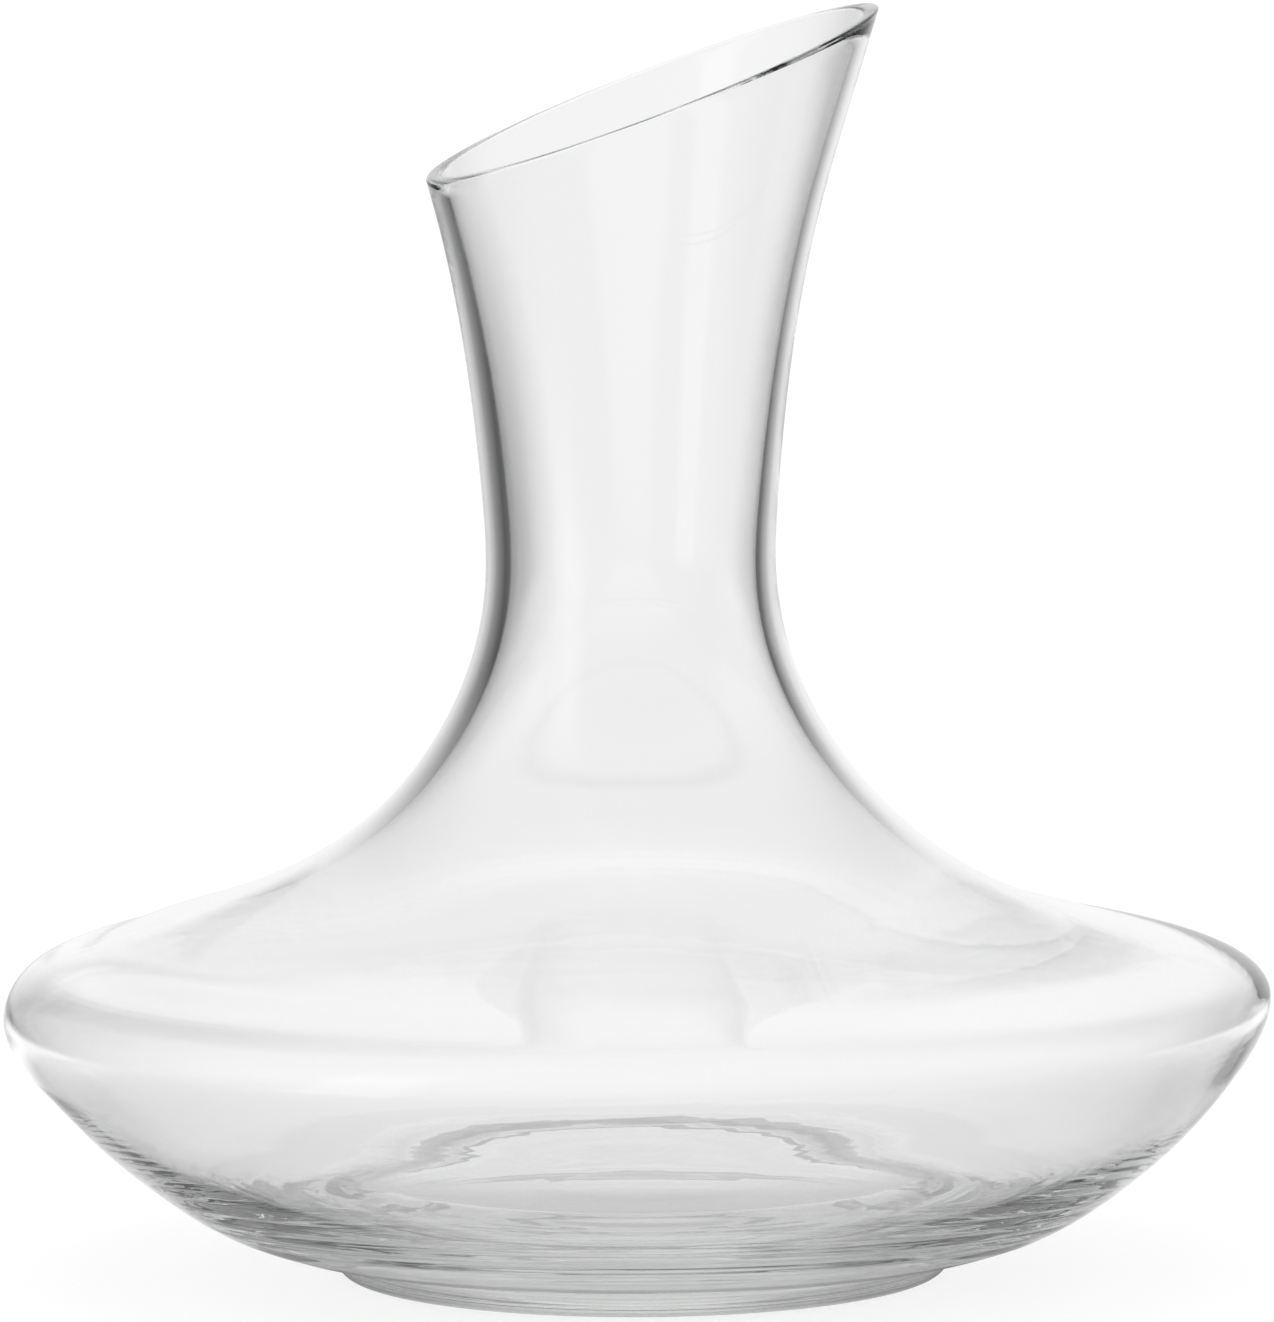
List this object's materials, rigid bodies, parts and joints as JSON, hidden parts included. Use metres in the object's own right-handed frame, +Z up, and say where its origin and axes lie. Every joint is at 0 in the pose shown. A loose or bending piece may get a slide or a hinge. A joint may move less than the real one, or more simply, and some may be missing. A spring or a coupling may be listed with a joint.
{
  "type": "wine decanter",
  "caption": "Squat clear glass wine decanter: wide low bowl with a sharp shoulder edge, flared neck cut off at a slant, on an applied disc foot.",
  "frame": {"origin": "on the table plane under the centre of the foot's standing ring", "axes": "+Z up along the neck's centre line; +X towards the high side of the slanted mouth; the low pouring lip is at -X; +Y completes the right hand"},
  "size_m": [0.2202, 0.2202, 0.2206],
  "materials": {
    "clear_glass": "clear colourless soda-lime crystal, fire-polished, smooth and glossy"
  },
  "bodies": {
    "root": {"vessel": "clear_glass", "foot": "clear_glass"}
  },
  "joints": []
}
